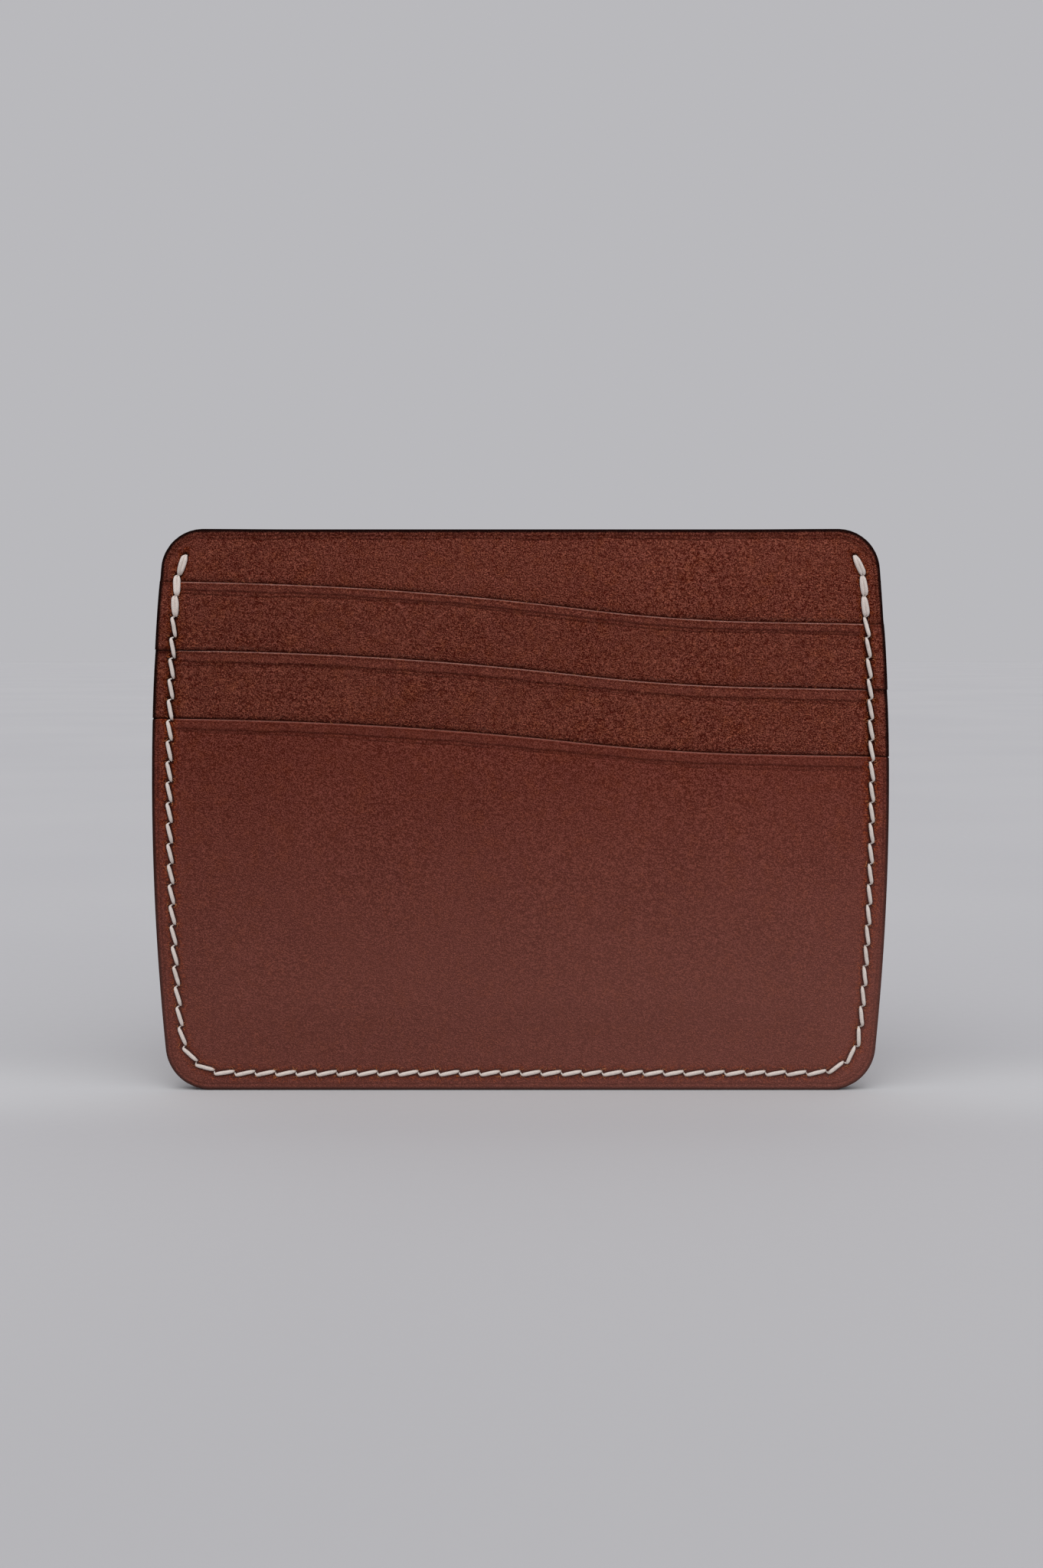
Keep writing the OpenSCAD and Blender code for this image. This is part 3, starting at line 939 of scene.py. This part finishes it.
# The two leathers: the grain's colours, the strip's below a mouth, the share of dark grain, the grain's size,
# softness and relief, the gloss, and how strongly a cut mouth shows
# The light grain colour is partly a painted glint on the grain tops.
SMOOTH = {"dark": (0.080, 0.009, 0.003), "light": (0.246, 0.063, 0.042), "strip": (0.155, 0.036, 0.024),
          "share": 0.02, "grain": 0.20, "contrast": 0.25, "depth": 0.14, "gloss": 0.04, "raw_and_highlight": 0.26}
PEBBLED = {"dark": (0.084, 0.0042, 0.0006), "light": (0.430, 0.123, 0.077), "strip": (0.285, 0.072, 0.050),
           "share": 0.02, "grain": 0.21, "contrast": 0.34, "depth": 0.66, "gloss": 0.04, "raw_and_highlight": 0.90}

WARMER, COOLER = (1.10, 0.98, 0.50), (0.94, 0.90, 1.25)
RUST_DARK, RUST_LIGHT = (0.085, 0.005, 0.0008), (0.36, 0.068, 0.013)
SHADE = (0.026, 0.0055, 0.0035)
BURNISHED = (0.009, 0.0022, 0.0018)
# Painted shadow line just above where a mouth rests.
LIP_SHADOW_LINE = (0.052, 0.006, 0.002)
# The raw cut colour of a mouth's lip, with a painted highlight on its rounded edge.
RAW_EDGE_AND_HIGHLIGHT = (0.60, 0.285, 0.23)
# Painted pale sheen of the floor's reflection on the lower leather.
FLOOR_SHEEN = (0.252, 0.103, 0.084)
WRINKLE = (0.25, 0.095, 0.07)


def grain_patterns(n, grain):
    """Patterns that a leather's colour and relief share. The relief runs from 0 to 1."""
    worms = n.noise(1.9 * grain, 1.0, 0.5, 0.8)
    ridges = n.between(n.away(worms, 0.5), 0.12, 0.0)
    fine = n.noise(0.78 * grain, 1.0, 0.5, 0.5)
    drawn = n.noise(1.2 * grain, 1.5, 0.5, 0.6, place=n.slanted(14, 2.2))
    relief = n.plus(n.times(ridges, 0.17), n.times(n.between(fine, 0.27, 0.73), 0.60),
                    n.times(n.between(drawn, 0.3, 0.7), 0.23))
    return {"worms": worms, "fine": fine, "relief": relief, "mottle": n.noise(1.1, 3.0, 0.6, 0.4),
            "cloud": n.noise(15.0, 3.0, 0.55), "wander": n.swing(n.noise(1.6, 2.0), 0.22)}


def grain_colour(n, look, patterns, soft_dark):
    """Light grains on a dark ground, the light grains partly painted glints, with slow changes of hue. Also
    gives where the light grains are.
    """
    middle = 0.5 + look["share"]
    speckle = n.between(patterns["relief"], middle - look["contrast"], middle + look["contrast"])
    colour = n.mix(speckle, look["dark"], look["light"])
    hue = n.noise(2.6, 2.0, 0.6, 0.5)
    colour = n.mix(n.between(hue, 0.5, 0.70, 0.0, 0.3), colour, WARMER, "MULTIPLY")
    colour = n.mix(n.between(hue, 0.48, 0.30, 0.0, 0.2), colour, COOLER, "MULTIPLY")
    colour = n.mix(n.between(patterns["mottle"], 0.48, 0.72, 0.0, 0.08), colour, soft_dark)
    return n.mix(n.between(patterns["cloud"], 0.3, 0.7, 0.0, 0.12), colour, look["light"]), speckle


def strip_below_mouth(n, colour, look, patterns, soft_dark):
    """A smoother strip down to a mouth's pressed lines, with painted shade in those lines and just under the
    lip.
    """
    lip = n.attribute("lip_d")
    strip = n.times(n.between(lip, 0.3, 0.8), n.between(lip, 1.7, 1.1), 0.30)
    colour = n.mix(strip, colour, look["strip"])
    # Painted shade just under the mouth's rounded lip.
    colour = n.mix(n.between(n.away(lip, 0.33), 0.17, 0.05, 0.0, 0.55), colour, soft_dark)
    crease = n.plus(n.attribute("crease_d"), n.times(patterns["wander"], 0.6))
    # Painted shade in the pressed lines.
    return n.mix(n.between(crease, 0.26, 0.04, 0.0, 0.48), colour, [0.45 * d for d in look["dark"]])


def beside_stitches(n, colour, speckle, patterns):
    """Waxed orange beside the stitches, and painted shade in the groove where the thread presses into the
    leather and in its holes.
    """
    seam_d = n.attribute("seam_d")
    seam = n.plus(seam_d, n.swing(patterns["mottle"], 1.6), n.swing(patterns["worms"], 2.4))
    rust = n.mix(speckle, RUST_DARK, RUST_LIGHT)
    colour = n.mix(n.between(seam, 1.25, 0.30, 0.0, 0.85), colour, rust)
    # Painted shade in the groove that the thread presses into the leather.
    groove_shade_d = n.plus(seam_d, n.swing(patterns["fine"], 0.2))
    colour = n.mix(n.between(groove_shade_d, 0.66, 0.36, 0.0, 0.84), colour, SHADE)
    # Painted shade in the stitch holes.
    hole = n.plus(n.attribute("hole_d"), n.swing(patterns["fine"], 0.3))
    return n.mix(n.between(hole, 0.38, 0.2, 0.0, 0.8), colour, SHADE)


def cut_lip(n, colour, raw_and_highlight_share, patterns, inside):
    """The pale cut line of a mouth between the seams, partly its raw colour and partly a painted highlight on
    the rounded lip, and a painted shade line along the joint outside them.
    """
    lip = n.attribute("lip_d")
    ragged = n.plus(lip, n.swing(patterns["fine"], 0.22))
    patchy = n.between(n.noise(2.5, 2.0), 0.3, 0.62, 0.6, 1.0)
    # Pale line along the lip: partly the raw cut colour, partly a painted highlight on the rounded edge.
    raw_and_highlight = n.times(n.between(ragged, 0.17, 0.09, 0.0, raw_and_highlight_share), n.times(inside, patchy))
    colour = n.mix(raw_and_highlight, colour, RAW_EDGE_AND_HIGHLIGHT)
    # Painted shade along the joint of the mouth outside the seams.
    joint_shade = n.times(n.between(lip, 0.10, 0.02, 0.0, 0.9), n.math("SUBTRACT", 1.0, inside))
    return n.mix(joint_shade, colour, SHADE)


def above_next_mouth(n, colour, patterns, inside):
    """Where the next mouth rests: a painted soft shade, a light wrinkle and a painted shadow line. Also gives
    the line.
    """
    wander = n.times(patterns["wander"], 0.7)
    rest = n.plus(n.attribute("above_next"), wander, n.swing(patterns["worms"], 0.9))
    colour = n.mix(n.between(rest, 1.0, 0.2, 0.0, 0.22), colour, SHADE)
    at_right = n.between(n.parts()[0], 26.0, 36.0)
    wrinkled = n.math("MAXIMUM", n.between(n.noise(4.5, 2.0), 0.52, 0.62), at_right)
    wrinkle = n.between(n.away(rest, 0.52), 0.10, 0.03, 0.0, 0.5)
    colour = n.mix(n.times(wrinkle, n.times(wrinkled, inside)), colour, WRINKLE)
    # Painted shadow line just above the next mouth's lip.
    line = n.times(n.between(rest, 0.36, 0.12), n.plus(0.3, n.times(inside, 0.55)))
    return n.mix(line, colour, LIP_SHADOW_LINE), line


def painted_light_and_sheen(n, colour):
    """Painted light: slightly lighter to the right and near the top, where more light falls, and a painted
    pale sheen of the floor's reflection towards the bottom.
    """
    along, _, up = n.parts()
    painted_light = n.plus(n.between(along, -52.0, 52.0, 0.94, 1.09), n.between(up, 64.0, 76.0, 0.0, 0.10))
    colour = n.mix(1.0, colour, n.grey(painted_light), "MULTIPLY")
    # Painted floor reflection, stronger towards the bottom and the right.
    floor_sheen = n.times(n.between(up, 54.0, 9.0, 0.0, 0.42), n.between(along, -52.0, 52.0, 0.72, 1.08))
    return n.mix(floor_sheen, colour, FLOOR_SHEEN)


def grain_leather(name, look):
    """Waxed full-grain leather: fine light grains, partly painted glints, on a dark ground, pressed lines
    with painted shade, darkened edges, and painted light and sheen.
    """
    n = Nodes(name)
    patterns = grain_patterns(n, look["grain"])
    soft_dark = [(2 * d + 0.4 * li) / 2.4 for d, li in zip(look["dark"], look["light"])]
    colour, speckle = grain_colour(n, look, patterns, soft_dark)
    colour = strip_below_mouth(n, colour, look, patterns, soft_dark)
    colour = beside_stitches(n, colour, speckle, patterns)
    edge_d = n.attribute("edge_d")
    burnish = n.between(n.plus(edge_d, patterns["wander"]), 0.72, 0.26, 0.0, 0.97)
    colour = n.mix(burnish, colour, BURNISHED)
    inside = n.between(edge_d, SEAM_INSET + 0.1, SEAM_INSET + 0.9)
    colour = cut_lip(n, colour, look["raw_and_highlight"], patterns, inside)
    colour, lip_shadow = above_next_mouth(n, colour, patterns, inside)
    colour = painted_light_and_sheen(n, colour)

    normal = n.bump(patterns["relief"], look["depth"], 0.9)
    normal = n.bump(patterns["mottle"], 0.05, 0.5, normal)
    normal = n.bump(n.noise(5.0, 2.0), 0.12, 0.35, normal)
    uneven = n.plus(patterns["fine"], n.times(patterns["cloud"], 0.5))
    dull = n.times(n.math("MAXIMUM", burnish, lip_shadow), 0.9)
    roughness = n.math("MAXIMUM", n.between(uneven, 0.5, 1.0, 0.46, 0.66), dull)
    return n.finish(colour, roughness, normal, look["gloss"])


def flesh_leather(name):
    """The rough inner side of the leather."""
    n = Nodes(name)
    nap = n.noise(0.35, 5.0, 0.7)
    colour = n.mix(n.between(nap, 0.35, 0.7), (0.085, 0.036, 0.022), (0.19, 0.09, 0.055))
    colour = n.mix(n.between(n.noise(9.0), 0.35, 0.7, 0.0, 0.4), colour, (0.12, 0.05, 0.032))
    return n.finish(colour, n.between(nap, 0.3, 0.7, 0.78, 0.95), n.bump(nap, 0.12, 0.8), 0.2)


def cut_edge(name, dark, light, least_rough):
    """A cut leather edge, with fibres lying along it."""
    n = Nodes(name)
    fibres = n.noise(0.5, 4.0, 0.7, place=n.stretched((0.35, 2.2, 0.35)))
    colour = n.mix(n.between(fibres, 0.35, 0.7), dark, light)
    roughness = n.between(fibres, 0.3, 0.7, least_rough, least_rough + 0.2)
    return n.finish(colour, roughness, n.bump(fibres, 0.06, 0.7), 0.12)


def waxed_thread(name):
    """Off-white waxed thread with fine filaments and a little dirt."""
    n = Nodes(name)
    filament = n.noise(0.09, 3.0, 0.6)
    dirt = n.noise(1.3, 3.0, 0.6)
    colour = n.mix(n.between(filament, 0.3, 0.7), (0.64, 0.55, 0.50), (0.86, 0.77, 0.70))
    colour = n.mix(n.between(dirt, 0.5, 0.75, 0.0, 0.35), colour, (0.40, 0.34, 0.29))
    n.shader.inputs["Sheen Weight"].default_value = 0.15
    return n.finish(colour, n.between(filament, 0.3, 0.7, 0.5, 0.68), n.bump(filament, 0.05, 0.7), 0.35)


def fibre_material(name):
    n = Nodes(name)
    colour = n.mix(n.between(n.noise(0.4), 0.35, 0.65), (0.40, 0.09, 0.018), (0.58, 0.22, 0.09))
    return n.finish(colour, 0.7, n.bump(n.noise(0.05), 0.01, 0.5), 0.3)


def floor_material(name):
    """Matt pale paper, a little greyer behind the place where the object stands as painted shade, with a
    painted pool of light close round it and painted shade towards the camera.
    """
    n = Nodes(name)
    behind = n.parts()[1]
    tooth = n.noise(1.8, 4.0)
    colour = n.mix(n.between(n.noise(180.0, 2.0), 0.3, 0.7), (0.519, 0.517, 0.531), (0.538, 0.536, 0.547))
    # Painted shade on the floor just behind the object.
    near = n.times(n.between(behind, 3.0, 12.0), n.between(behind, 260.0, 20.0), 0.035)
    colour = n.mix(near, colour, (0.30, 0.30, 0.31))
    # Painted pool of light on the floor close round the object.
    colour = n.mix(n.between(n.math("ABSOLUTE", behind), 28.0, 5.0, 0.0, 0.5), colour, (0.61, 0.61, 0.615))
    # Painted shade darkening the floor towards the camera.
    colour = n.mix(n.between(behind, -40.0, -150.0, 0.0, 0.5), colour, (0.495, 0.493, 0.502))
    return n.finish(colour, n.between(tooth, 0.3, 0.7, 0.75, 0.9), n.bump(tooth, 0.02, 0.25), 0.15)


# --- Studio ---

FLOOR_R = 6.0
GREY = (0.486, 0.484, 0.505)
CAMERA_DISTANCE = 0.290
CAMERA_TILT = math.radians(4.0)
CAMERA_AIM = (0.00014, 0.0, 0.0436)
FOCAL_SHARE = 1.3055  # focal length over the picture's height
SENSOR_H = 36.0


def build_floor():
    mesh = bpy.data.meshes.new("studio_floor")
    shape = bmesh.new()
    bmesh.ops.create_circle(shape, cap_ends=True, segments=96, radius=FLOOR_R)
    shape.to_mesh(mesh)
    shape.free()
    mesh.materials.append(floor_material("matt_paper"))
    in_scene("studio_floor", mesh)


def add_sun(name, azimuth, elevation, strength, softness):
    """A broad soft light. Azimuth 0 comes from the camera's side, and grows towards +X."""
    light = bpy.data.lights.new(name, "SUN")
    light.energy = strength
    light.angle = math.radians(softness)
    a, e = math.radians(azimuth), math.radians(elevation)
    away = Vector((math.sin(a) * math.cos(e), -math.cos(a) * math.cos(e), math.sin(e)))
    in_scene(name, light).rotation_euler = away.to_track_quat("Z", "Y").to_euler()


def build_lights():
    world = bpy.data.worlds.new("studio_world")
    world.use_nodes = True
    world.node_tree.nodes["Background"].inputs["Color"].default_value = (*GREY, 1)
    bpy.context.scene.world = world
    add_sun("key_light", -22, 60, 0.95, 50)
    add_sun("fill_light", 32, 52, 0.70, 60)


def build_camera():
    data = bpy.data.cameras.new("camera")
    data.sensor_fit = "VERTICAL"
    data.sensor_height = SENSOR_H
    data.lens = FOCAL_SHARE * SENSOR_H
    data.clip_start = 0.01
    data.clip_end = 50
    camera = in_scene("camera", data)
    aim = Vector(CAMERA_AIM)
    away = Vector((0, -math.cos(CAMERA_TILT), math.sin(CAMERA_TILT)))
    camera.location = aim + away * CAMERA_DISTANCE
    camera.rotation_euler = away.to_track_quat("Z", "Y").to_euler()
    bpy.context.scene.camera = camera


# --- The card holder ---

def place(piece, slot, *nodes):
    """Rides a piece on the root body, and hides the CAD nodes it stands for. Its slot is not used."""
    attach(piece, "root")
    if nodes:
        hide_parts(*nodes)


def build_holder():
    """All the leathers, threads and raised fibres."""
    smooth_grain = grain_leather("front_leather", SMOOTH)
    pebbled = grain_leather("pocket_leather", PEBBLED)
    flesh = flesh_leather("leather_inside")
    burnished = cut_edge("burnished_edge", (0.016, 0.005, 0.004), (0.050, 0.015, 0.011), 0.38)
    cut = cut_edge("cut_mouth_edge", (0.24, 0.10, 0.075), (0.42, 0.21, 0.165), 0.55)
    thread = waxed_thread("waxed_thread")

    front = [smooth_grain, flesh, burnished, cut]
    pockets = [pebbled, flesh, burnished, cut]
    place(back_panel([flesh, smooth_grain, burnished, cut]), "panel_leather", "back_panel")
    place(pocket_backing(pockets), "panel_leather", "pocket_backing")
    place(stem_pocket("top_pocket_leather", 0, TOP_GIVE, pockets), "pocket_leather", "top_pocket")
    place(stem_pocket("middle_pocket_leather", 1, MIDDLE_GIVE, pockets), "pocket_leather", "middle_pocket")
    place(front_pocket(front), "pocket_leather", "front_pocket")
    for piece in seam_threads(thread):
        place(piece, "thread", "seam_thread")
    for k, name in enumerate(("top_stem_thread", "middle_stem_thread")):
        for piece in stem_thread(name, k, thread):
            place(piece, "thread", name)
    place(raised_fibres(fibre_material("raised_fibres")), "pocket_leather")


build_camera()
build_holder()
build_floor()
build_lights()
bpy.context.scene.view_settings.view_transform = "Standard"
